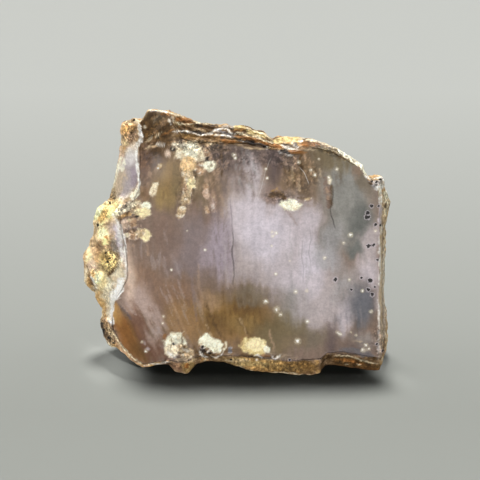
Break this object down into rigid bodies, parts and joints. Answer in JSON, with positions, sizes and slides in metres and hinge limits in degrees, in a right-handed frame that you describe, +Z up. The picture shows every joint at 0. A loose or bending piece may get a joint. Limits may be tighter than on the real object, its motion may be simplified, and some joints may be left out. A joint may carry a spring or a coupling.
{
  "type": "chalcedony specimen",
  "caption": "Rough lump of grey-lilac and brown chalcedony with a broken glassy face and a knobbly layered rind, standing on its flat foot.",
  "frame": {"origin": "middle of the stone's footprint, on the surface that it stands on", "axes": "+X to the right across the broken face, +Y from the broken face towards the back, +Z up"},
  "size_m": [0.0777, 0.0378, 0.0672],
  "materials": {
    "chalcedony": "waxy to glassy on the broken face, where grey-lilac, smoke grey, olive and amber zones run into each other with cream growths; rough brown, cream and ochre rind round it"
  },
  "bodies": {
    "root": {"chalcedony": "chalcedony"}
  },
  "joints": []
}
